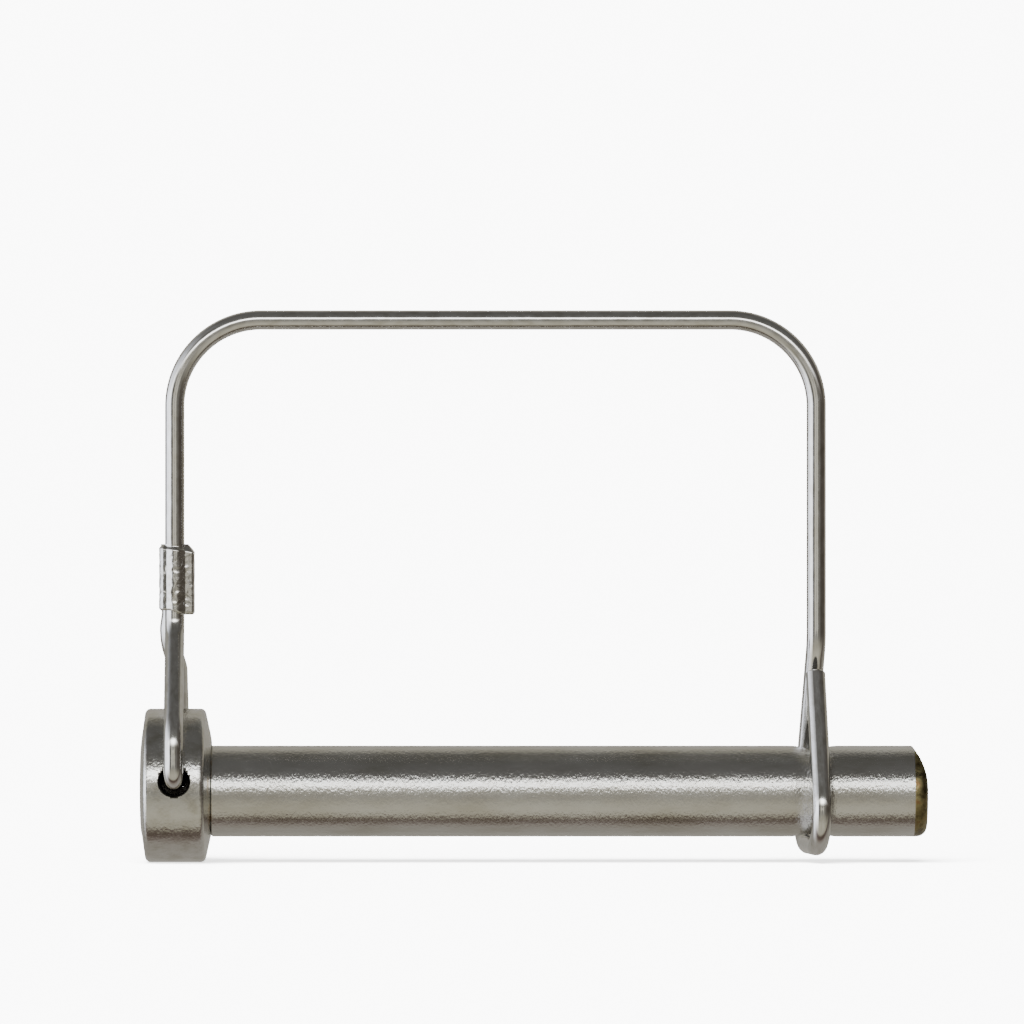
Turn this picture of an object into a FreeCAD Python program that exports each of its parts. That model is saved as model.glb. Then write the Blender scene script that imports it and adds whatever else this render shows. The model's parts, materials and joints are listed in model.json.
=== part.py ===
import FreeCAD, Part
import math
import os

# Hitch pin with a square wire bail.
#
# A round shank carries a collar at one end. One spring wire passes through the collar's cross
# hole, is closed into a yoke by a crimped ferrule, runs up, across and down as a square bail,
# and hooks round the shank near its tip, where it lies in a shallow seat.
#
# Millimetres. +X runs along the shank from the collar's shoulder (x = 0) to the tip, +Z is the
# side the bail stands on, and the origin is on the shank's axis. The bail swings about the cross
# hole's axis, which lies along Y. The wire is one piece in real life. It is cut here below its
# far top corner, so that its latch leg can spring away from the tip as the real wire flexes.

# shank
SHANK_DIA = 15.875
GRIP_LENGTH = 101.4         # shoulder to wire seat: what the pin can hold
TIP_LENGTH = 16.2           # wire seat to the tip's end
SEAT_DEPTH = 0.4
SEAT_LENGTH = 7.2
SEAT_RAMP = 1.2
TIP_BEVEL_LENGTH = 2.3
TIP_BEVEL_DEPTH = 1.9
TIP_GRIND_LENGTH = 2.6      # the slope ground on the tip's upper side
TIP_GRIND_DEPTH = 5.8
SPIGOT_DIA = 12.0
PEEN_FLARE = 1.0            # the spigot's end is hammered out into the collar's countersink
PEEN_DEPTH = 1.0

# collar
COLLAR_DIA = 26.8
COLLAR_LENGTH = 12.3
COLLAR_RISE = 1.0           # the collar's outside stands this far above the shank's axis
COLLAR_ROUND = 1.6
SPIGOT_CLEARANCE = 0.01
HOLE_PLAY = 1.7             # how much wider than the wire the collar's cross hole is
SPIGOT_HOLE_PLAY = 0.4      # and how much wider the same hole is inside the spigot
HOLE_RISE = 2.1
HOLE_COUNTERSINK = 0.3

# wire
WIRE_DIA = 3.4
BAIL_HEIGHT = 82.2          # shank axis to the top bar's centre line
BAIL_CORNER_RADIUS = 15.0
LEG_SET_BACK = 0.3          # the bail's near leg stands this far behind the cross hole
LEG_GAP = 0.4               # between each yoke leg and the collar
YOKE_STRAIGHT = 8.2         # height of the yoke's upright part above the cross hole
YOKE_BEND_RADIUS = 2.6
YOKE_KNEE_RADIUS = 8.0
YOKE_CROWN_DROP = 2.5       # the near leg bends into the yoke this far below the ferrule
YOKE_CROWN_RADIUS = 6.0
TAIL_OFFSET = 0.7           # the wire's tail lies this far back in the ferrule
TAIL_DROP = 4.0             # the tail bends out this far below the ferrule
TAIL_BEND_RADIUS = 3.0
TAIL_INSET = 0.8            # the tail's end stays this far inside the ferrule
CUT_BELOW_CORNER = 1.0
CUT_GAP = 0.05

# ferrule
FERRULE_BOTTOM = 30.8
FERRULE_LENGTH = 12.3
FERRULE_SIDE_WALL = 1.4
FERRULE_WALL = 0.95
FERRULE_ROUND = 0.7
CRIMP_CLEARANCE = 0.02

# latch hook
HOOK_CLEARANCE = 0.15
HOOK_SET_BACK = 1.6         # the hook's back foot stands this far past the seat's near end
HOOK_SLANT = 3.5            # how far its front foot stands towards the tip from there
HOOK_LEG_LEAD = 0.75         # how far the far leg stands towards the tip from between the feet
HOOK_END_LEAN = 0.2
HOOK_BEND_RADIUS = 6.5
HOOK_CROWN_RADIUS = 10.0
HOOK_CROWN_HEIGHT = 26.0
HOOK_END_HEIGHT = 21.1
HOOK_END_GAP = 0.15         # the hook's cut end stands this far off the far leg

# what follows from them
SHANK_R = SHANK_DIA / 2
SEAT_R = SHANK_R - SEAT_DEPTH
WIRE_R = WIRE_DIA / 2
COLLAR_R = COLLAR_DIA / 2
HOLE_R = (WIRE_DIA + HOLE_PLAY) / 2
SPIGOT_HOLE_R = (WIRE_DIA + SPIGOT_HOLE_PLAY) / 2
HOLE_X = -COLLAR_LENGTH / 2
HINGE = FreeCAD.Vector(HOLE_X, 0, HOLE_RISE)
NEAR_LEG_X = HOLE_X - LEG_SET_BACK
YOKE_SPREAD = COLLAR_R + LEG_GAP + WIRE_R
KNEE_Z = HOLE_RISE + YOKE_STRAIGHT
FERRULE_TOP = FERRULE_BOTTOM + FERRULE_LENGTH
FERRULE_WIDTH = WIRE_DIA + 2 * FERRULE_SIDE_WALL
HOOK_R = SEAT_R + HOOK_CLEARANCE + WIRE_R
HOOK_BACK_X = GRIP_LENGTH + HOOK_SET_BACK
HOOK_FRONT_X = HOOK_BACK_X + HOOK_SLANT
SHANK_LENGTH = GRIP_LENGTH + SEAT_LENGTH + TIP_LENGTH
FAR_LEG_X = (HOOK_BACK_X + HOOK_FRONT_X) / 2 + HOOK_LEG_LEAD
CUT_Z = BAIL_HEIGHT - BAIL_CORNER_RADIUS - CUT_BELOW_CORNER
TAIL_Y = math.sqrt((WIRE_DIA + 3 * CRIMP_CLEARANCE) ** 2 - TAIL_OFFSET ** 2)

X_AXIS = FreeCAD.Vector(1, 0, 0)
Y_AXIS = FreeCAD.Vector(0, 1, 0)
Z_AXIS = FreeCAD.Vector(0, 0, 1)


def rod(radius, start, end):
    """A plain round bar between two points."""
    run = end - start
    return Part.makeCylinder(radius, run.Length, start, run)


def turned(outline):
    """The solid that an outline of (x, radius) points sweeps about the shank's axis."""
    points = [FreeCAD.Vector(x, 0, r) for x, r in outline]
    return Part.Face(Part.makePolygon(points + points[:1])).revolve(
        FreeCAD.Vector(), X_AXIS, 360)


def bent_path(corners):
    """Straight runs through (point, bend radius) corners, with a tangent arc at each bend."""
    points = [FreeCAD.Vector(*point) for point, _ in corners]
    edges = []
    start = points[0]
    for i in range(1, len(points) - 1):
        into = (points[i] - points[i - 1]).normalize()
        out = (points[i + 1] - points[i]).normalize()
        half_turn = into.getAngle(out) / 2
        radius = corners[i][1]
        reach = radius * math.tan(half_turn)
        bend_in = points[i] - into * reach
        bend_out = points[i] + out * reach
        towards = (out - into).normalize()
        middle = points[i] + towards * (radius / math.cos(half_turn) - radius)
        edges.append(Part.LineSegment(start, bend_in).toShape())
        edges.append(Part.Arc(bend_in, middle, bend_out).toShape())
        start = bend_out
    edges.append(Part.LineSegment(start, points[-1]).toShape())
    return Part.Wire(edges)


def bent_wire(corners):
    """Round wire bent along the path."""
    path = bent_path(corners)
    start = FreeCAD.Vector(*corners[0][0])
    heading = FreeCAD.Vector(*corners[1][0]) - start
    section = Part.Wire(Part.makeCircle(WIRE_R, start, heading))
    return path.makePipeShell([section], True, False)


def tip_slope():
    """The wedge ground away from the tip's upper side."""
    top = SHANK_R + WIRE_R
    run = TIP_GRIND_LENGTH / TIP_GRIND_DEPTH
    low = FreeCAD.Vector(SHANK_LENGTH, -SHANK_DIA, SHANK_R - TIP_GRIND_DEPTH)
    high = FreeCAD.Vector(SHANK_LENGTH - (top - low.z) * run, -SHANK_DIA, top)
    outer = FreeCAD.Vector(SHANK_LENGTH, -SHANK_DIA, top)
    wedge = Part.Face(Part.makePolygon([low, high, outer, low]))
    return wedge.extrude(Y_AXIS * (2 * SHANK_DIA))


def cross_hole(radius):
    """The drill that makes the cross hole, right through collar or spigot."""
    reach = Y_AXIS * COLLAR_DIA
    return rod(radius, HINGE - reach, HINGE + reach)


def make_shank():
    """Shank with its flared spigot, wire seat, bevelled tip and the slope ground on it."""
    seat_end = GRIP_LENGTH + SEAT_LENGTH
    outline = [
        (-COLLAR_LENGTH, 0),
        (-COLLAR_LENGTH, SPIGOT_DIA / 2 + PEEN_FLARE),
        (PEEN_DEPTH - COLLAR_LENGTH, SPIGOT_DIA / 2),
        (0, SPIGOT_DIA / 2),
        (0, SHANK_R),
        (GRIP_LENGTH, SHANK_R),
        (GRIP_LENGTH + SEAT_RAMP, SEAT_R),
        (seat_end - SEAT_RAMP, SEAT_R),
        (seat_end, SHANK_R),
        (SHANK_LENGTH - TIP_BEVEL_LENGTH, SHANK_R),
        (SHANK_LENGTH, SHANK_R - TIP_BEVEL_DEPTH),
        (SHANK_LENGTH, 0),
    ]
    return turned(outline).cut(tip_slope()).cut(cross_hole(SPIGOT_HOLE_R))


def make_head_collar():
    """Round collar with soft edges, the spigot's bore and the countersunk cross hole."""
    centre = Z_AXIS * COLLAR_RISE
    body = rod(COLLAR_R, centre - X_AXIS * COLLAR_LENGTH, centre)
    rims = [edge for edge in body.Edges if edge.Closed]
    body = body.makeFillet(COLLAR_ROUND, rims)
    bore_r = SPIGOT_DIA / 2 + SPIGOT_CLEARANCE
    bore = rod(bore_r, X_AXIS * -COLLAR_DIA, X_AXIS * COLLAR_DIA)
    flare = Part.makeCone(bore_r + PEEN_FLARE, bore_r, PEEN_DEPTH, X_AXIS * -COLLAR_LENGTH, X_AXIS)
    body = body.cut(bore).cut(flare).cut(cross_hole(HOLE_R))
    mouth_y = math.sqrt(COLLAR_R ** 2 - (HOLE_RISE - COLLAR_RISE) ** 2)
    small = HOLE_R
    large = small + HOLE_COUNTERSINK
    for side in (-1, 1):
        start = HINGE + Y_AXIS * side * (mouth_y - 2 * HOLE_COUNTERSINK)
        sink = Part.makeCone(small, large + HOLE_COUNTERSINK, 3 * HOLE_COUNTERSINK,
                             start, Y_AXIS * side)
        body = body.cut(sink)
    return body


def make_bail_wire():
    """Tail in the ferrule, back leg, cross hole, front leg, near leg, top bar and far corner."""
    tail_x = NEAR_LEG_X - TAIL_OFFSET
    tail_foot = FERRULE_BOTTOM - TAIL_DROP
    sway_y = (YOKE_SPREAD + 2 * TAIL_Y) / 3
    sway_z = (KNEE_Z + 2 * tail_foot) / 3
    return bent_wire([
        ((tail_x, TAIL_Y, FERRULE_TOP - TAIL_INSET), 0),
        ((tail_x, TAIL_Y, tail_foot), TAIL_BEND_RADIUS),
        ((HOLE_X, sway_y, sway_z), YOKE_CROWN_RADIUS),
        ((HOLE_X, YOKE_SPREAD, KNEE_Z), YOKE_KNEE_RADIUS),
        ((HOLE_X, YOKE_SPREAD, HOLE_RISE), YOKE_BEND_RADIUS),
        ((HOLE_X, -YOKE_SPREAD, HOLE_RISE), YOKE_BEND_RADIUS),
        ((HOLE_X, -YOKE_SPREAD, KNEE_Z), YOKE_KNEE_RADIUS),
        ((NEAR_LEG_X, 0, FERRULE_BOTTOM - YOKE_CROWN_DROP), YOKE_CROWN_RADIUS),
        ((NEAR_LEG_X, 0, BAIL_HEIGHT), BAIL_CORNER_RADIUS),
        ((FAR_LEG_X, 0, BAIL_HEIGHT), BAIL_CORNER_RADIUS),
        ((FAR_LEG_X, 0, CUT_Z), 0),
    ])


def make_ferrule():
    """Oval sleeve crimped on the near leg and the wire's tail."""
    half_width = FERRULE_WIDTH / 2
    front = FERRULE_WALL + WIRE_R - half_width
    round_ends = (-front, TAIL_Y + front)
    body = Part.makeBox(FERRULE_WIDTH, round_ends[1] - round_ends[0], FERRULE_LENGTH,
                        FreeCAD.Vector(HOLE_X - half_width, round_ends[0], FERRULE_BOTTOM))
    for y in round_ends:
        foot = FreeCAD.Vector(HOLE_X, y, FERRULE_BOTTOM)
        body = body.fuse(rod(half_width, foot, foot + Z_AXIS * FERRULE_LENGTH))
    body = body.removeSplitter()
    rims = [edge for edge in body.Edges if edge.BoundBox.ZLength < FERRULE_ROUND]
    body = body.makeFillet(FERRULE_ROUND, rims)
    bore_r = WIRE_R + CRIMP_CLEARANCE
    for x, y in ((NEAR_LEG_X, 0), (NEAR_LEG_X - TAIL_OFFSET, TAIL_Y)):
        foot = FreeCAD.Vector(x, y, FERRULE_BOTTOM)
        body = body.cut(rod(bore_r, foot, foot + Z_AXIS * FERRULE_LENGTH))
    return body


def make_latch_wire():
    """Far leg, and the hook that goes behind the shank, under it and up its front."""
    tilt = math.asin(HOOK_R / HOOK_CROWN_HEIGHT)
    foot_y = (HOOK_CROWN_HEIGHT + HOOK_R) * math.tan(tilt)
    leg_y = (HOOK_CROWN_HEIGHT - HOOK_END_HEIGHT) * math.tan(tilt)
    end_y = leg_y - (WIRE_DIA + HOOK_END_GAP) / math.cos(tilt)
    return bent_wire([
        ((FAR_LEG_X, 0, CUT_Z - CUT_GAP), 0),
        ((FAR_LEG_X, 0, HOOK_CROWN_HEIGHT), HOOK_CROWN_RADIUS),
        ((HOOK_BACK_X, foot_y, -HOOK_R), HOOK_BEND_RADIUS),
        ((HOOK_FRONT_X, -foot_y, -HOOK_R), HOOK_BEND_RADIUS),
        ((FAR_LEG_X - HOOK_END_LEAN, end_y, HOOK_END_HEIGHT), 0),
    ])


os.makedirs("parts", exist_ok=True)
parts = {
    "shank": make_shank(),
    "head_collar": make_head_collar(),
    "bail_wire": make_bail_wire(),
    "ferrule": make_ferrule(),
    "latch_wire": make_latch_wire(),
}
for name, shape in parts.items():
    solid = shape.Solids[0]
    solid.exportStep(os.path.join("parts", name + ".step"))
    print(name, solid.isValid(), len(shape.Solids), round(solid.Volume, 1), solid.BoundBox)
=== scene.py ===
"""Hitch pin with a square wire bail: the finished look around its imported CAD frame, in metres."""
import json
import math

import bmesh
import bpy
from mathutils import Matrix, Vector, noise


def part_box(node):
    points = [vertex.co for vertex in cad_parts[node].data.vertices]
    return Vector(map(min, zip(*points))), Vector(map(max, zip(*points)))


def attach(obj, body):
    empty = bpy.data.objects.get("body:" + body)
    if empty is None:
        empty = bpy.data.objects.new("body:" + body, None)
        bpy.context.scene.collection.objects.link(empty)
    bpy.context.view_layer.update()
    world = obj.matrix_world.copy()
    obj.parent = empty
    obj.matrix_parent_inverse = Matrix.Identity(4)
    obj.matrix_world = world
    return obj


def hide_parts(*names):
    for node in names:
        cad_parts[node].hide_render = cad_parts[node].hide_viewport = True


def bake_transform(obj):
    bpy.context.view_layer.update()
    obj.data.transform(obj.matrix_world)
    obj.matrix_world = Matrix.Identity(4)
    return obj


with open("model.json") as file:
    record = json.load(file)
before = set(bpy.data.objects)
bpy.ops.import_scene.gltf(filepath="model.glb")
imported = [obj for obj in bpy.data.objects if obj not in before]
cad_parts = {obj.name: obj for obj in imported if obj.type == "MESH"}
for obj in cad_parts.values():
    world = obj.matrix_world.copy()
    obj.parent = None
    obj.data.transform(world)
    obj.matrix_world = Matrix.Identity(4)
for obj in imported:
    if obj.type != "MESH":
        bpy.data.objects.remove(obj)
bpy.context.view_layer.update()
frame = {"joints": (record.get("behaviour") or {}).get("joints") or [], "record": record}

MM = 0.001

# ---------------------------------------------------------------- sizes, from the frame and the drawing
shank_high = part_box("shank")[1]
collar_low, collar_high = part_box("head_collar")
ferrule_low, ferrule_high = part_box("ferrule")
joints = {joint["name"]: joint for joint in frame["joints"]}
grip = frame["record"]["mounts"][0]["dims"]
hinge = Vector(joints["bail_swing"]["pos_m"])

shank_r = grip["r_mm"] * MM
grip_length = grip["length_mm"] * MM
shank_end = shank_high.x
seat_depth = 0.4 * MM
seat_length = 7.2 * MM
seat_run = 2.4 * MM
spigot_r = 6.0 * MM
peen_flare = 1.0 * MM
tip_edge = 2.3 * MM

collar_r = (collar_high.z - collar_low.z) / 2
collar_rise = (collar_high.z + collar_low.z) / 2

wire_dia = 3.4 * MM
wire_r = wire_dia / 2
hole_r = 2.55 * MM
spigot_hole_r = wire_r + 0.04 * MM
countersink = 0.3 * MM


# ---------------------------------------------------------------- small helpers
def paint(hex_colour):
    """An sRGB hex colour as linear red, green, blue and alpha."""
    parts = [int(hex_colour[i:i + 2], 16) / 255 for i in (1, 3, 5)]
    return [c / 12.92 if c <= 0.04045 else ((c + 0.055) / 1.055) ** 2.4 for c in parts] + [1]


def add(tree, kind, settings=None, **sockets):
    """Adds a node with its settings. A socket, given by name or as in_0, in_1, takes a value or a link.

    The setting stops gives a colour ramp its (place, hex colour, alpha) stops.
    """
    made = tree.nodes.new(kind)
    for key, value in (settings or {}).items():
        if key == "stops":
            band = made.color_ramp.elements
            band[0].position, band[-1].position = value[0][0], value[-1][0]
            for stop in value[1:-1]:
                band.new(stop[0])
            for element, stop in zip(band, value):
                element.color = paint(stop[1])[:3] + [stop[2] if len(stop) > 2 else 1]
        else:
            setattr(made, key, value)
    for key, value in sockets.items():
        name = key.replace("_", " ")
        socket = made.inputs[int(key[3:])] if key[:3] == "in_" else made.inputs[name]
        if isinstance(value, bpy.types.NodeSocket):
            tree.links.new(value, socket)
        else:
            socket.default_value = value
    return made


def keep(name, mesh, material, body, slot, *nodes):
    """Puts a finished mesh in the scene as a piece that rides on a body and stands for CAD nodes."""
    piece = bpy.data.objects.new(name, mesh)
    bpy.context.collection.objects.link(piece)
    if material and not mesh.materials:
        mesh.materials.append(material)
    if body:
        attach(piece, body)
    if nodes:
        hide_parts(*nodes)
    return piece


def bent_line(corners, step):
    """Points along straight runs and tangent bends, from (point, bend radius) corners."""
    points = [Vector(corner) for corner, _ in corners]
    line = [points[0]]

    def run_to(end):
        start = line[-1]
        count = max(1, round((end - start).length / step))
        line.extend(start.lerp(end, (i + 1) / count) for i in range(count))

    for i in range(1, len(points) - 1):
        into = (points[i] - points[i - 1]).normalized()
        out = (points[i + 1] - points[i]).normalized()
        turn = into.angle(out)
        radius = corners[i][1]
        reach = radius * math.tan(turn / 2)
        run_to(points[i] - into * reach)
        centre = line[-1] + (out - into * into.dot(out)).normalized() * radius
        arm = line[-1] - centre
        count = max(4, round(radius * turn / step))
        for k in range(1, count + 1):
            a = turn * k / count
            line.append(centre + arm * math.cos(a) + into * radius * math.sin(a))
    run_to(points[-1])
    return line


def lathe(name, outline, sides, centre_z=0.0, closed=False):
    """A turned mesh: an outline of (x, radius) points swept round a line along X."""
    work = bmesh.new()
    rings = []
    for x, r in outline:
        if r == 0:
            rings.append([work.verts.new((x, 0, centre_z))])
            continue
        angles = (2 * math.pi * k / sides for k in range(sides))
        rings.append([work.verts.new((x, r * math.cos(a), centre_z + r * math.sin(a))) for a in angles])
    pairs = list(zip(rings, rings[1:] + (rings[:1] if closed else [])))
    for one, two in pairs if closed else pairs[:len(rings) - 1]:
        for k in range(sides):
            j = (k + 1) % sides
            corner = [one[k % len(one)], one[j % len(one)], two[j % len(two)], two[k % len(two)]]
            work.faces.new(list(dict.fromkeys(corner)))
    bmesh.ops.recalc_face_normals(work, faces=work.faces)
    mesh = bpy.data.meshes.new(name)
    work.to_mesh(mesh)
    work.free()
    return mesh


def dense(outline, step):
    """The outline with points added so that none is more than a step from the next."""
    out = [outline[0]]
    for (x0, r0), (x1, r1) in zip(outline, outline[1:]):
        count = max(1, math.ceil(math.hypot(x1 - x0, r1 - r0) / step))
        out += [(x0 + (x1 - x0) * i / count, r0 + (r1 - r0) * i / count) for i in range(1, count + 1)]
    return out


def rounded(outline, radii, count=6):
    """The outline with its inner corners rounded, one radius for each point."""
    out = [outline[0]]
    for i in range(1, len(outline) - 1):
        if not radii[i]:
            out.append(outline[i])
            continue
        here = Vector(outline[i])
        into = (here - Vector(outline[i - 1])).normalized()
        out_way = (Vector(outline[i + 1]) - here).normalized()
        turn = into.angle(out_way)
        reach = radii[i] * math.tan(turn / 2)
        start = here - into * reach
        middle = start + (out_way - into * into.dot(out_way)).normalized() * radii[i]
        arm = start - middle
        for k in range(count + 1):
            a = turn * k / count
            p = middle + arm * math.cos(a) + into * radii[i] * math.sin(a)
            out.append((p.x, p.y))
    return out + [outline[-1]]


def drill(mesh, cutters):
    """The mesh with holes cut by closed cutter meshes."""
    body = bpy.data.objects.new("work", mesh)
    bpy.context.collection.objects.link(body)
    tools = []
    for cutter in cutters:
        tool = bpy.data.objects.new("tool", cutter)
        bpy.context.collection.objects.link(tool)
        cut = body.modifiers.new("cut", "BOOLEAN")
        cut.object = tool
        cut.operation = "DIFFERENCE"
        cut.solver = "EXACT"
        tools.append(tool)
    graph = bpy.context.evaluated_depsgraph_get()
    made = bpy.data.meshes.new_from_object(body.evaluated_get(graph))
    for thing in (body, *tools):
        bpy.data.objects.remove(thing)
    return made


def smooth(mesh, angle):
    """Shades the mesh smooth, but for edges sharper than the angle in degrees."""
    mesh.shade_smooth()
    mesh.set_sharp_from_angle(angle=math.radians(angle))
    return mesh


# ---------------------------------------------------------------- finishes
def metal(name, base, roughness):
    """A metal with its output wired, its tree and its shader."""
    material = bpy.data.materials.new(name)
    material.use_nodes = True
    tree = material.node_tree
    tree.nodes.clear()
    shader = add(tree, "ShaderNodeBsdfPrincipled", Metallic=1.0, Roughness=roughness)
    shader.inputs["Base Color"].default_value = paint(base)
    add(tree, "ShaderNodeOutputMaterial", Surface=shader.outputs[0])
    return material, tree, shader


def grain(tree, place, size, detail=2.0, rough=0.6):
    """Noise whose cells measure size millimetres along X, Y and Z."""
    stretched = add(tree, "ShaderNodeMapping", Vector=place, Scale=[1 / (s * MM) for s in size])
    return add(tree, "ShaderNodeTexNoise", Vector=stretched.outputs[0], Scale=1.0, Detail=detail,
               Roughness=rough).outputs[0]


def finish(tree, shader, tone, rough, heights):
    """Joins a tone, a roughness and (height, depth in mm) bumps to the shader."""
    tree.links.new(tone, shader.inputs["Base Color"])
    tree.links.new(rough, shader.inputs["Roughness"])
    normal = None
    for height, depth in heights:
        bump = add(tree, "ShaderNodeBump", Strength=1.0, Distance=depth * MM, Height=height)
        if normal:
            tree.links.new(normal, bump.inputs["Normal"])
        normal = bump.outputs[0]
    tree.links.new(normal, shader.inputs["Normal"])


def zinc_plated_bar():
    """Bright zinc on cold drawn bar: satin, with a fine sparkling grain and soft cloudy tones."""
    material, tree, shader = metal("zinc_plated_bar", "#c3c2be", 0.14)
    place = add(tree, "ShaderNodeTexCoord").outputs["Object"]
    fine = grain(tree, place, (0.4, 0.6, 0.6), 3.0, 0.6)
    cloud = grain(tree, place, (14, 5, 5), 4.0, 0.6)
    tone = add(tree, "ShaderNodeValToRGB", {"stops": [(0.32, "#b6b4ad"), (0.5, "#c3c2be"),
                                                      (0.68, "#cbcbc9")]}, Fac=cloud)
    rough = add(tree, "ShaderNodeMapRange", Value=cloud, in_1=0.35, in_2=0.7, in_3=0.11, in_4=0.17)
    finish(tree, shader, tone.outputs[0], rough.outputs[0], [(cloud, 0.03), (fine, 0.085)])
    return material


def cut_steel():
    """Bare sheared steel on the tip: dark olive brown with thin rust, rougher than the plating."""
    material, tree, shader = metal("bare_cut_steel", "#6a6350", 0.3)
    place = add(tree, "ShaderNodeTexCoord").outputs["Object"]
    patches = grain(tree, place, (2.2, 2.2, 2.2), 5.0, 0.6)
    tone = add(tree, "ShaderNodeValToRGB", {"stops": [(0.3, "#3a362b"), (0.46, "#6b6346"),
                                                      (0.6, "#8d845e"), (0.76, "#855f40")]}, Fac=patches)
    rough = add(tree, "ShaderNodeMapRange", Value=patches, in_1=0.3, in_2=0.7, in_3=0.2, in_4=0.45)
    marks = grain(tree, place, (0.5, 2.0, 0.5), 3.0)
    finish(tree, shader, tone.outputs[0], rough.outputs[0], [(patches, 0.25), (marks, 0.05)])
    return material


def hole_shade_steel():
    """Painted shade: dull dark steel on the cross hole's wall, on the wire inside it and on the spigot
    hidden in the collar.
    """
    material, tree, shader = metal("hole_shade_steel", "#4a4844", 0.5)
    place = add(tree, "ShaderNodeTexCoord").outputs["Object"]
    rings = grain(tree, place, (2.0, 0.25, 2.0), 2.0)
    tone = add(tree, "ShaderNodeValToRGB", {"stops": [(0.3, "#35332f"), (0.7, "#55524d")]}, Fac=rings)
    rough = add(tree, "ShaderNodeMapRange", Value=rings, in_1=0.3, in_2=0.7, in_3=0.4, in_4=0.6)
    finish(tree, shader, tone.outputs[0], rough.outputs[0], [(rings, 0.03)])
    return material


def zinc_plated_collar():
    """Bright zinc on a turned collar: smoother than the bar, with a yellow tinge by its seam."""
    material, tree, shader = metal("zinc_plated_collar", "#c5c4c0", 0.14)
    place = add(tree, "ShaderNodeTexCoord").outputs["Object"]
    fine = grain(tree, place, (0.4, 0.55, 0.55), 3.0, 0.6)
    cloud = grain(tree, place, (3, 3, 3), 4.0, 0.6)
    tone = add(tree, "ShaderNodeValToRGB", {"stops": [(0.32, "#b3b1a9"), (0.5, "#c5c4c0"),
                                                      (0.7, "#cdcdcb")]}, Fac=cloud)
    along = add(tree, "ShaderNodeSeparateXYZ", Vector=place).outputs["X"]
    near_seam = add(tree, "ShaderNodeMapRange", Value=along, in_1=-0.7 * MM, in_2=-0.3 * MM)
    patchy = add(tree, "ShaderNodeMapRange", Value=cloud, in_1=0.5, in_2=0.68)
    tinge = add(tree, "ShaderNodeMath", {"operation": "MULTIPLY"}, in_0=near_seam.outputs[0],
                in_1=patchy.outputs[0])
    mixed = add(tree, "ShaderNodeMix", {"data_type": "RGBA"}, in_0=tinge.outputs[0],
                in_6=tone.outputs[0], in_7=paint("#b39a68"))
    rough = add(tree, "ShaderNodeMapRange", Value=cloud, in_1=0.35, in_2=0.7, in_3=0.1, in_4=0.17)
    finish(tree, shader, mixed.outputs[2], rough.outputs[0], [(cloud, 0.05), (fine, 0.05)])
    return material


def plated_spring_wire():
    """Bright plating on drawn spring wire: nearly a mirror, with faint lines along the wire."""
    material, tree, shader = metal("plated_spring_wire", "#cccbc8", 0.08)
    unbent = add(tree, "ShaderNodeAttribute", {"attribute_name": "unbent"}).outputs["Vector"]
    drawn = grain(tree, unbent, (0.4, 0.4, 12), 2.0)
    nicks = grain(tree, unbent, (0.9, 0.9, 2.2), 2.5, 0.6)
    tone = add(tree, "ShaderNodeValToRGB", {"stops": [(0.3, "#bcbab4"), (0.5, "#cccbc8"),
                                                      (0.7, "#d6d6d5")]}, Fac=nicks)
    rough = add(tree, "ShaderNodeMapRange", Value=nicks, in_1=0.3, in_2=0.75, in_3=0.05, in_4=0.16)
    finish(tree, shader, tone.outputs[0], rough.outputs[0], [(drawn, 0.004), (nicks, 0.011)])
    return material


def crimped_sleeve():
    """Bright plated sleeve squeezed in a crimping tool: glossy, with small soft dents."""
    material, tree, shader = metal("crimped_sleeve", "#cbcac6", 0.12)
    place = add(tree, "ShaderNodeTexCoord").outputs["Object"]
    dents = grain(tree, place, (0.9, 0.9, 0.8), 2.0, 0.5)
    tone = add(tree, "ShaderNodeValToRGB", {"stops": [(0.3, "#b5b2aa"), (0.55, "#cbcac6"),
                                                      (0.75, "#d3d3d1")]}, Fac=dents)
    rough = add(tree, "ShaderNodeMapRange", Value=dents, in_1=0.3, in_2=0.7, in_3=0.08, in_4=0.2)
    finish(tree, shader, tone.outputs[0], rough.outputs[0], [(dents, 0.05)])
    return material


bar_finish = zinc_plated_bar()
tip_finish = cut_steel()
painted_hole_shade = hole_shade_steel()
collar_finish = zinc_plated_collar()
wire_finish = plated_spring_wire()
sleeve_finish = crimped_sleeve()


# ---------------------------------------------------------------- shank
def hole_cutter(radius, flare=0.0):
    """A drill through the cross hole, opening out at the collar's skin if it has a flare."""
    mouth = math.sqrt(collar_r ** 2 - (hinge.z - collar_rise) ** 2)
    reach = 1.3 * collar_r
    if flare:
        outline = [(mouth - 2 * flare, radius), (mouth - 0.8 * flare, radius + 0.35 * flare),
                   (mouth, radius + 1.1 * flare), (reach, radius + 1.1 * flare + (reach - mouth))]
    else:
        outline = [(reach, radius)]
    outline = [(-x, r) for x, r in reversed(outline)] + outline
    mesh = lathe("drill", [(outline[0][0], 0)] + outline + [(outline[-1][0], 0)], 96)
    for v in mesh.vertices:
        x, y, z = v.co
        v.co = Vector((hinge.x + y, -x, hinge.z + z))
    return mesh


def mark_hole_shade(mesh, radius, slot):
    """Gives the faces within a radius of the cross hole's line the material in a slot, to paint shade in
    the hole.
    """
    for face in mesh.polygons:
        if math.hypot(face.center.x - hinge.x, face.center.z - hinge.z) < radius:
            face.material_index = slot


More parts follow.
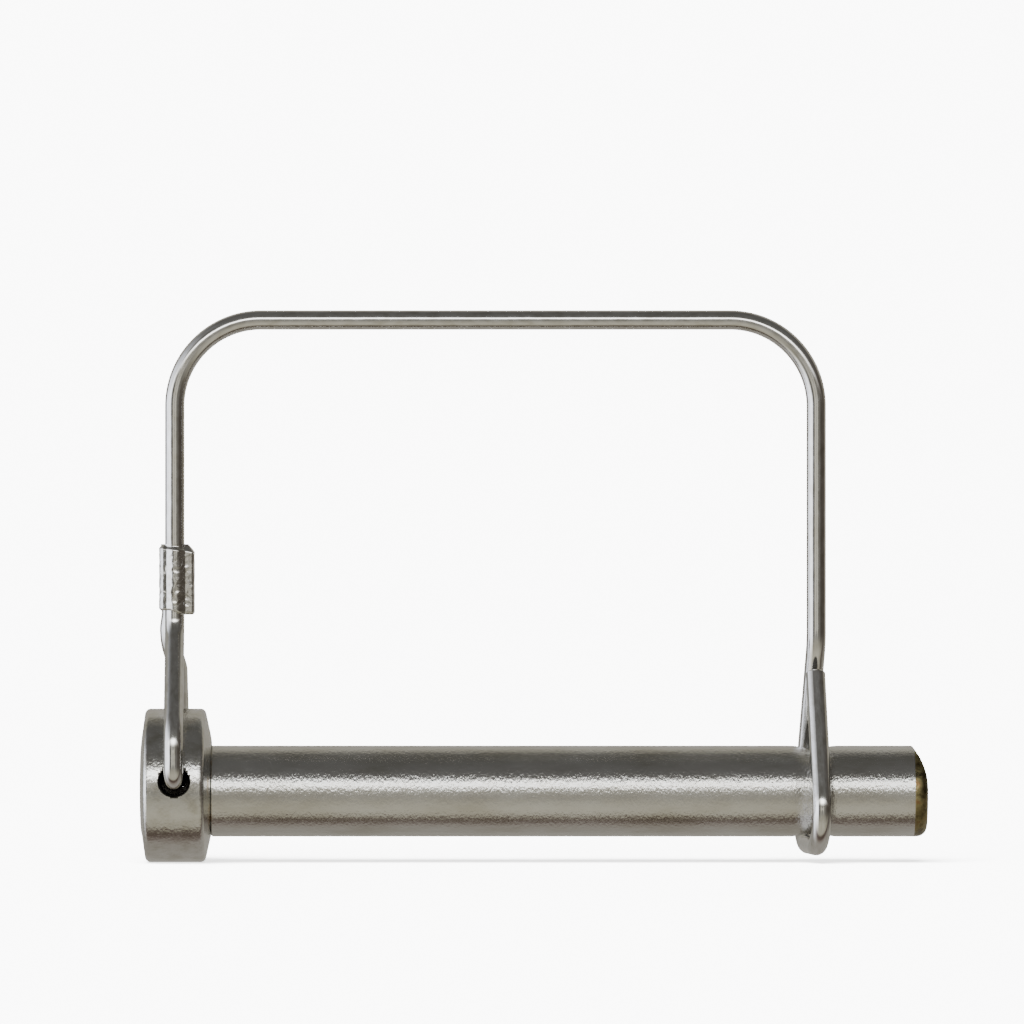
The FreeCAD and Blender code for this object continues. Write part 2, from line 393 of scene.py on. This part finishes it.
def shank():
    """Bar with a flared spigot, the wire's seat, and a tip rounded all round and sloped on top.

    The spigot inside the collar is painted dark as shade. The tip is bare from where its rounding
    starts.
    """
    seat_r = shank_r - seat_depth
    seat_end = grip_length + seat_length
    left = collar_low.x
    corners = [
        (left + 0.35 * MM, 0), (left + 0.2 * MM, 4.5 * MM), (left + 0.03 * MM, 6.9 * MM),
        (left + peen_flare, spigot_r), (0, spigot_r), (0, shank_r),
        (grip_length, shank_r), (grip_length + seat_run, seat_r),
        (seat_end - seat_run, seat_r), (seat_end, shank_r),
    ]
    soft = [0, 1 * MM, 0.15 * MM, 0, 0, 0.25 * MM, 7 * MM, 7 * MM, 7 * MM, 7 * MM]
    tip_steps = 14
    fullness = 0.8
    for k in range(tip_steps + 1):
        a = math.pi / 2 * k / tip_steps
        corners.append((shank_end - tip_edge * (1 - math.sin(a) ** fullness),
                        shank_r - tip_edge * (1 - math.cos(a) ** fullness)))
        soft.append(0)
    corners.append((shank_end, 0))
    soft.append(0)
    outline = dense(rounded(corners, soft), 0.42 * MM)
    mesh = drill(lathe("shank", outline, 192), [hole_cutter(spigot_hole_r)])
    slope_foot = 0.2 * MM
    slope_reach = 4 * MM
    slope_depth = 2.75 * MM
    slope_bend = 2.2
    uneven = 0.12 * MM
    uneven_size = 2.5 * MM
    for v in mesh.vertices:
        if v.co.x > shank_end - slope_reach and v.co.z > slope_foot:
            up = (v.co.z - slope_foot) / (shank_r - slope_foot)
            wobble = uneven * noise.noise(v.co / uneven_size) * min(1, 3 * up)
            v.co.x = min(v.co.x, shank_end - slope_depth * up ** slope_bend + wobble)
    work = bmesh.new()
    work.from_mesh(mesh)
    bmesh.ops.remove_doubles(work, verts=work.verts, dist=0.01 * MM)
    bmesh.ops.dissolve_degenerate(work, edges=work.edges, dist=0.005 * MM)
    work.to_mesh(mesh)
    work.free()
    mesh.materials.clear()
    for material in (bar_finish, tip_finish, painted_hole_shade):
        mesh.materials.append(material)
    # slot 2, the spigot hidden in the collar, is painted dark as shade
    for face in mesh.polygons:
        if face.center.x > shank_end - tip_edge:
            face.material_index = 1
        elif left + 2 * MM < face.center.x < 0:
            face.material_index = 2
    return keep("shank_bar", smooth(mesh, 35), None, "pin", "zinc_plated_bar", "shank")


def collar():
    """Turned ring with domed faces, soft rims and the flared cross hole, bored for the spigot."""
    bore = spigot_r + 0.01 * MM
    left, right = collar_low.x, collar_high.x
    outer_dome = 0.85 * MM
    inner_dome = 1.15 * MM
    rim = 0.95 * MM
    corners = [(left + peen_flare, bore), (left, bore + peen_flare), (left, 7.6 * MM),
               (left + outer_dome, collar_r), (right - inner_dome, collar_r),
               (right, 8.2 * MM), (right, bore)]
    soft = [0, 0, 6 * MM, rim, rim, 4 * MM, 0]
    rise_run = 3 * MM
    outline = dense(rounded(corners, soft, 10), 0.35 * MM)
    mesh = lathe("collar", outline, 224, 0.0, closed=True)
    for v in mesh.vertices:
        r = math.hypot(v.co.y, v.co.z)
        share = min(1, max(0, (r - bore) / rise_run))
        v.co.z += collar_rise * share
    mesh = drill(mesh, [hole_cutter(hole_r, countersink)])
    mesh.materials.clear()
    mesh.materials.append(collar_finish)
    mesh.materials.append(painted_hole_shade)
    # the hole's wall and countersink are painted dark as shade
    mark_hole_shade(mesh, hole_r + 0.34 * MM, 1)  # the hole's wall and its countersink
    return keep("collar_ring", smooth(mesh, 32), None, "pin", "zinc_plated_collar", "head_collar")


# ---------------------------------------------------------------- wire
def wire_tree():
    """Geometry nodes: round wire along a curve, with its unbent grain kept for the finish."""
    tree = bpy.data.node_groups.new("round_wire", "GeometryNodeTree")
    for label, kind in (("Line", "NodeSocketGeometry"), ("Wire diameter", "NodeSocketFloat"),
                        ("Sides", "NodeSocketInt"), ("Finish", "NodeSocketMaterial")):
        tree.interface.new_socket(label, in_out="INPUT", socket_type=kind)
    tree.interface.new_socket("Wire", in_out="OUTPUT", socket_type="NodeSocketGeometry")
    given = add(tree, "NodeGroupInput").outputs
    radius = add(tree, "ShaderNodeMath", {"operation": "MULTIPLY"}, in_0=given["Wire diameter"],
                 in_1=0.5)
    circle = add(tree, "GeometryNodeCurvePrimitiveCircle", Resolution=given["Sides"],
                 Radius=radius.outputs[0])
    here = add(tree, "GeometryNodeInputPosition")
    around = add(tree, "GeometryNodeCaptureAttribute", Geometry=circle.outputs[0])
    around.capture_items.new("VECTOR", "around")
    tree.links.new(here.outputs[0], around.inputs["around"])
    run = add(tree, "GeometryNodeSplineParameter")
    along = add(tree, "GeometryNodeCaptureAttribute", Geometry=given["Line"])
    along.capture_items.new("FLOAT", "along")
    tree.links.new(run.outputs["Length"], along.inputs["along"])
    swept = add(tree, "GeometryNodeCurveToMesh", Curve=along.outputs[0])
    tree.links.new(around.outputs[0], swept.inputs["Profile Curve"])
    swept.inputs["Fill Caps"].default_value = True
    if "Scale" in swept.inputs:
        size = add(tree, "GeometryNodeInputRadius")
        tree.links.new(size.outputs[0], swept.inputs["Scale"])
    split = add(tree, "ShaderNodeSeparateXYZ", Vector=around.outputs["around"])
    unbent = add(tree, "ShaderNodeCombineXYZ", X=split.outputs["X"], Y=split.outputs["Y"],
                 Z=along.outputs["along"])
    stored = add(tree, "GeometryNodeStoreNamedAttribute",
                 {"data_type": "FLOAT_VECTOR", "domain": "POINT"}, Geometry=swept.outputs[0],
                 Name="unbent", Value=unbent.outputs[0])
    plain = add(tree, "GeometryNodeRealizeInstances", Geometry=stored.outputs[0])
    painted = add(tree, "GeometryNodeSetMaterial", Geometry=plain.outputs[0],
                  Material=given["Finish"])
    add(tree, "NodeGroupOutput", Wire=painted.outputs[0])
    return tree


def along_wire(name, line, end_round):
    """Sweeps round wire along the line, with the rims of its cut ends broken."""
    curve = bpy.data.curves.new(name, "CURVE")
    curve.dimensions = "3D"
    first = (line[1] - line[0]).normalized() * end_round
    last = (line[-1] - line[-2]).normalized() * end_round
    points = [line[0], line[0] + first] + line[1:-1] + [line[-1] - last, line[-1]]
    spline = curve.splines.new("POLY")
    spline.points.add(len(points) - 1)
    for point, place in zip(spline.points, points):
        point.co = (*place, 1)
        point.radius = 1
    for end in (0, -1):
        spline.points[end].radius = 1 - end_round / wire_r
    sweep = bpy.data.objects.new(name, curve)
    bpy.context.collection.objects.link(sweep)
    tree = wire_tree()
    nodes = sweep.modifiers.new("wire", "NODES")
    nodes.node_group = tree
    wanted = {"Wire diameter": wire_dia, "Sides": 40, "Finish": wire_finish}
    for item in tree.interface.items_tree:
        if item.in_out == "INPUT" and item.name in wanted:
            nodes[item.identifier] = wanted[item.name]
    graph = bpy.context.evaluated_depsgraph_get()
    mesh = bpy.data.meshes.new_from_object(sweep.evaluated_get(graph))
    bpy.data.objects.remove(sweep)
    return smooth(mesh, 40)


def bail_line():
    """The wire's centre line, from its tail in the ferrule to the cut end of the hook."""
    bail_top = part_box("bail_wire")[1].z - wire_r
    far_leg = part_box("bail_wire")[1].x - wire_r
    near_leg = hinge.x - 0.3 * MM
    tail = near_leg - 0.7 * MM
    tail_y = math.sqrt((3.46 * MM) ** 2 - (0.7 * MM) ** 2)
    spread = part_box("bail_wire")[1].y - wire_r
    knee = hinge.z + 8.2 * MM
    tail_foot = ferrule_low.z - 4.0 * MM
    hook_r = shank_r - seat_depth + 0.15 * MM + wire_r
    hook_back = grip_length + 1.6 * MM
    hook_front = hook_back + 3.5 * MM
    yoke_bend = 2.6 * MM
    yoke_knee = 8 * MM
    bail_corner = 15 * MM
    hook_bend = 6.5 * MM
    crown = 26 * MM
    hook_end = 20.8 * MM
    tilt = math.asin(hook_r / crown)
    foot_y = (crown + hook_r) * math.tan(tilt)
    end_y = (crown - hook_end) * math.tan(tilt) - 3.55 * MM / math.cos(tilt)
    bowed = (hinge.x, (spread + 2 * tail_y) / 3, (knee + 2 * tail_foot) / 3)
    corners = [
        ((tail, tail_y, ferrule_high.z - 0.8 * MM), 0),
        ((tail, tail_y, ferrule_low.z), 3 * MM),
        ((tail - 0.35 * MM, tail_y, ferrule_low.z - 2.4 * MM), 4 * MM),
        ((tail - 0.2 * MM, tail_y + 0.1 * MM, tail_foot - 1 * MM), 4 * MM),
        (bowed, 6 * MM),
        ((hinge.x, spread, knee), yoke_knee),
        ((hinge.x, spread, hinge.z), yoke_bend),
        ((hinge.x, -spread, hinge.z), yoke_bend),
        ((hinge.x, -spread, knee), yoke_knee),
        ((near_leg, 0, ferrule_low.z - 2.5 * MM), 6 * MM),
        ((near_leg, 0, bail_top), bail_corner),
        ((far_leg, 0, bail_top), bail_corner),
        ((far_leg, 0, crown), 10 * MM),
        ((hook_back, foot_y, -hook_r), hook_bend),
        ((hook_front, -foot_y, -hook_r), hook_bend),
        ((far_leg - 0.2 * MM, end_y, hook_end), 0),
    ]
    return bent_line(corners, 0.4 * MM)


def wire():
    """The whole spring wire in one piece, swept along its centre line and baked in place.
    """
    mesh = along_wire("spring_wire", bail_line(), 0.25 * MM)
    # the wire inside the cross hole is painted dark as shade
    mesh.materials.append(painted_hole_shade)
    in_hole = 13 * MM
    for face in mesh.polygons:
        if abs(face.center.y) < in_hole:
            away = math.hypot(face.center.x - hinge.x, face.center.z - hinge.z)
            face.material_index = 1 if away < hole_r else 0
    piece = keep("spring_wire", mesh, None, None, "plated_spring_wire", "bail_wire", "latch_wire")
    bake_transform(piece)
    return piece


# ---------------------------------------------------------------- ferrule
def oval(one, two, radius, ends, sides):
    """Points round two end circles of one radius and the straight sides between them."""
    way = (two - one).normalized()
    across = Vector((way.y, -way.x))
    points = []
    for centre, turn in ((two, 1), (one, -1)):
        for k in range(ends + 1):
            a = math.pi * k / ends
            points.append(centre + (across * math.cos(a) + way * math.sin(a)) * radius * turn)
        start = points[-1]
        other = one if turn == 1 else two
        goal = other + (start - centre)
        points += [start.lerp(goal, k / sides) for k in range(1, sides)]
    return points


def ferrule():
    """Oval sleeve squeezed on the two wires, flanged at one side, lumpy and uneven at its foot."""
    near_leg = Vector((hinge.x - 0.3 * MM, 0))
    tail = Vector((near_leg.x - 0.7 * MM, math.sqrt((3.46 * MM) ** 2 - (0.7 * MM) ** 2)))
    low, high = ferrule_low, ferrule_high
    shape = [  # section: points as shares of the box, and the rounding at each in millimetres
        (0.00, 0.42, 1.6), (0.04, 0.19, 0.5), (0.12, 0.13, 0.2), (0.23, 0.108, 0.3),
        (0.50, 0.00, 1.5), (0.75, 0.15, 0.4), (1.00, 0.175, 0.5), (1.00, 0.78, 1.2), (0.80, 1.00, 1.6),
        (0.20, 1.00, 1.6), (0.00, 0.75, 1.4)]
    corners = [Vector((low.x + (high.x - low.x) * u, low.y + (high.y - low.y) * v))
               for u, v, _ in shape]
    start = (corners[0] + corners[-1]) / 2
    path = [start] + corners + [start]
    ring = rounded([tuple(p) for p in path], [0] + [r * MM for _, _, r in shape] + [0], 8)
    ring = [Vector(p) for p in dense(ring, 0.16 * MM)[:-1]]
    turns = [0.0]
    for p, q in zip(ring, ring[1:]):
        turns.append(turns[-1] + (q - p).length)
    around = turns[-1] + (ring[0] - ring[-1]).length
    bore = oval(near_leg, tail, wire_r + 0.02 * MM, 60, 30)
    first = min(range(len(bore)), key=lambda k: (bore[k] - start).length)
    bore = bore[first:] + bore[:first]
    area = sum(p.x * q.y - q.x * p.y for p, q in zip(bore, bore[1:] + bore[:1]))
    if area * sum(p.x * q.y - q.x * p.y for p, q in zip(ring, ring[1:] + ring[:1])) < 0:
        bore = [bore[0]] + bore[:0:-1]
    inner = []
    for t in turns:
        k = t / around * len(bore)
        inner.append(bore[int(k) % len(bore)].lerp(bore[(int(k) + 1) % len(bore)], k % 1))
    walls = [min((p - q).length for q in bore) for p in ring]
    middle = Vector(((low.x + high.x) / 2, (low.y + high.y) / 2))
    height = high.z - low.z
    foot_rise = 0.75 * MM
    foot_uneven = 0.12 * MM
    lip = 0.5 * MM
    dent = 0.13 * MM
    dent_size = 1.15 * MM
    work = bmesh.new()
    loops = []
    shares = [0, .003, .008, .018, .03, .045] + [0.06 + 0.87 * i / 72 for i in range(73)]
    shares += [.945, .96, .975, .988, .996, 1]
    for share in shares:
        loop = []
        for p, wall in zip(ring, walls):
            out = (p - middle).normalized()
            side = (p.x - middle.x) / (high.x - middle.x)
            foot = foot_rise * max(0, min(1, 0.5 - 1.6 * side)) + foot_uneven * noise.noise(
                Vector((p.x, p.y, 0)) / (1.1 * MM))
            z = low.z + max(0, foot) * (1 - share) ** 4 + height * share
            shoulder = (1.05 + 0.35 * side) * MM
            edge_top = high.z - z
            edge_low = z - low.z - max(0, foot) * (1 - share) ** 4
            drop = max(0, shoulder - edge_top) ** 1.15 / shoulder ** 0.15
            drop += 0.7 * max(0, lip - edge_low) ** 2 / lip
            inland = min(1, 6 * share) * min(1, 6 * (1 - share))
            lump = dent * noise.noise(Vector((p.x * 0.8, p.y, z)) / dent_size) * inland
            inset = drop + abs(lump)
            q = p - out * min(inset, 0.75 * wall)
            loop.append(work.verts.new((q.x, q.y, z)))
        loops.append(loop)
    for i in range(13):
        share = 1 - i / 12
        loop = []
        for p in inner:
            side = (p.x - middle.x) / (high.x - middle.x)
            foot = foot_rise * max(0, min(1, 0.5 - 1.6 * side))
            z = low.z + foot * (1 - share) ** 4 + height * share
            loop.append(work.verts.new((p.x, p.y, z)))
        loops.append(loop)
    for one, two in zip(loops, loops[1:] + loops[:1]):
        for k in range(len(one)):
            j = (k + 1) % len(one)
            work.faces.new([one[k], one[j], two[j], two[k]])
    bmesh.ops.recalc_face_normals(work, faces=work.faces)
    mesh = bpy.data.meshes.new("ferrule")
    work.to_mesh(mesh)
    work.free()
    return keep("crimped_ferrule", smooth(mesh, 50), sleeve_finish, "bail", "crimped_sleeve",
                "ferrule")


shank()
collar()
wire()
ferrule()


# ---------------------------------------------------------------- stage, light and camera
def studio_world():
    """Soft studio surroundings: pale walls, dark flags and bright panels set round the object.

    The first table goes round from the floor behind (-180) through the front (0) and overhead
    (90), the second round the walls from behind on the left (-180) to behind on the right. Each
    row is an angle in degrees, a colour, and how much brighter than a wall the panel is.
    """
    over = [(-180, "#bebab2", 0), (-100, "#b4afa6", 0), (-86, "#968b82", 0), (-80, "#64574e", 0),
            (-72, "#64574e", 0), (-64, "#cdc8b6", 0), (-45, "#dfdac7", 0), (-20, "#c6c2b3", 0),
            (-9, "#a5a39c", 0), (0, "#8e8c86", 0), (8, "#989690", 0), (13, "#f0eee8", .25),
            (16, "#ffffff", .5), (23, "#ffffff", .5), (28, "#b0b0ac", 0), (34, "#82817e", 0),
            (52, "#706f6d", 0), (103, "#696865", 0), (116, "#8f8d86", 0), (130, "#cdc9bc", 0),
            (180, "#b9b5ad", 0)]
    round_walls = [(-180, "#b4b1a8", 0), (-124, "#a8a69f", 0), (-114, "#c4c5c6", 0),
                   (-104, "#eef2ff", .22), (-50, "#f4f7ff", .26), (-40, "#a0a09e", 0),
                   (-32, "#6c6b67", 0), (-24, "#8a8882", 0), (-17, "#d8d4c6", .04),
                   (14, "#d8d4c6", .04), (22, "#8d8a83", 0), (42, "#807c76", 0),
                   (54, "#5f5952", 0), (100, "#5f5952", 0), (114, "#a29c8f", 0),
                   (126, "#bdb7a9", 0), (180, "#b4b1a8", 0)]
    world = bpy.data.worlds.new("studio")
    bpy.context.scene.world = world
    world.use_nodes = True
    tree = world.node_tree
    tree.nodes.clear()
    way = add(tree, "ShaderNodeTexCoord").outputs["Generated"]
    axes = add(tree, "ShaderNodeSeparateXYZ", Vector=way).outputs
    ahead = add(tree, "ShaderNodeMath", {"operation": "MULTIPLY"}, in_0=axes["Y"], in_1=-1.0)
    tones = []
    for axis, table in (("Z", over), ("X", round_walls)):
        angle = add(tree, "ShaderNodeMath", {"operation": "ARCTAN2"}, in_0=axes[axis],
                    in_1=ahead.outputs[0])
        turn = add(tree, "ShaderNodeMapRange", Value=angle.outputs[0], in_1=-math.pi,
                   in_2=math.pi)
        stops = [(at / 360 + 0.5, colour, lamp) for at, colour, lamp in table]
        tones.append(add(tree, "ShaderNodeValToRGB", {"stops": stops}, Fac=turn.outputs[0]).outputs)
    square = [add(tree, "ShaderNodeMath", {"operation": "POWER"}, in_0=axes[a], in_1=2.0).outputs[0]
              for a in ("X", "Z")]
    both = add(tree, "ShaderNodeMath", {"operation": "ADD"}, in_0=square[0], in_1=square[1])
    both = add(tree, "ShaderNodeMath", {"operation": "MAXIMUM"}, in_0=both.outputs[0], in_1=1e-5)
    sideways = add(tree, "ShaderNodeMath", {"operation": "DIVIDE"}, in_0=square[0],
                   in_1=both.outputs[0])
    share = add(tree, "ShaderNodeMath", {"operation": "POWER"}, in_0=sideways.outputs[0], in_1=2.5)
    tone = add(tree, "ShaderNodeMix", {"data_type": "RGBA"}, in_0=share.outputs[0],
               in_6=tones[0][0], in_7=tones[1][0])
    lamp = add(tree, "ShaderNodeMix", {"data_type": "FLOAT"}, in_0=share.outputs[0],
               in_2=tones[0][1], in_3=tones[1][1])
    power = add(tree, "ShaderNodeMath", {"operation": "MULTIPLY_ADD"}, in_0=lamp.outputs[0],
                in_1=12.0, in_2=1.0)
    seen = add(tree, "ShaderNodeBackground", Color=tone.outputs[2], Strength=power.outputs[0])
    wall = add(tree, "ShaderNodeBackground", Color=paint("#ffffff"), Strength=10.0)
    to_camera = add(tree, "ShaderNodeLightPath").outputs["Is Camera Ray"]
    mixed = add(tree, "ShaderNodeMixShader", in_0=to_camera, in_1=seen.outputs[0],
                in_2=wall.outputs[0])
    add(tree, "ShaderNodeOutputWorld", Surface=mixed.outputs[0])


def floor():
    """A plain pale floor that the collar stands on."""
    mesh = lathe("floor", [(0, 0), (0, 3.0)], 96)
    for v in mesh.vertices:
        v.co = Vector((v.co.y, v.co.z, collar_low.z))
    material = bpy.data.materials.new("pale_floor")
    material.use_nodes = True
    tree = material.node_tree
    tree.nodes.clear()
    card = add(tree, "ShaderNodeBsdfDiffuse", Color=paint("#f4f4f4"))
    lit = add(tree, "ShaderNodeEmission", Color=paint("#ffffff"), Strength=2.2)
    both = add(tree, "ShaderNodeAddShader", in_0=card.outputs[0], in_1=lit.outputs[0])
    add(tree, "ShaderNodeOutputMaterial", Surface=both.outputs[0])
    mesh.materials.append(material)
    piece = bpy.data.objects.new("floor", mesh)
    bpy.context.collection.objects.link(piece)
    piece.visible_glossy = False


def skylight():
    """One broad soft light from above the camera's left. It only lays a soft shadow on the floor."""
    light = bpy.data.lights.new("skylight", "SUN")
    light.angle = math.radians(50)
    light.energy = 30.0
    lamp = bpy.data.objects.new("skylight", light)
    bpy.context.collection.objects.link(lamp)
    lamp.rotation_euler = (math.radians(28), math.radians(-14), 0)
    lamp.visible_glossy = False


def camera():
    """A long lens straight in front of the object."""
    wide = 178.7 * MM
    distance = 1.6
    data = bpy.data.cameras.new("camera")
    data.sensor_width = 36
    data.lens = data.sensor_width * distance / wide
    data.clip_start = 0.05
    seen_from = bpy.data.objects.new("camera", data)
    bpy.context.collection.objects.link(seen_from)
    seen_from.location = (52.4 * MM, -distance, 48.7 * MM)
    seen_from.rotation_euler = (math.pi / 2, 0, 0)
    bpy.context.scene.camera = seen_from


studio_world()
floor()
skylight()
camera()
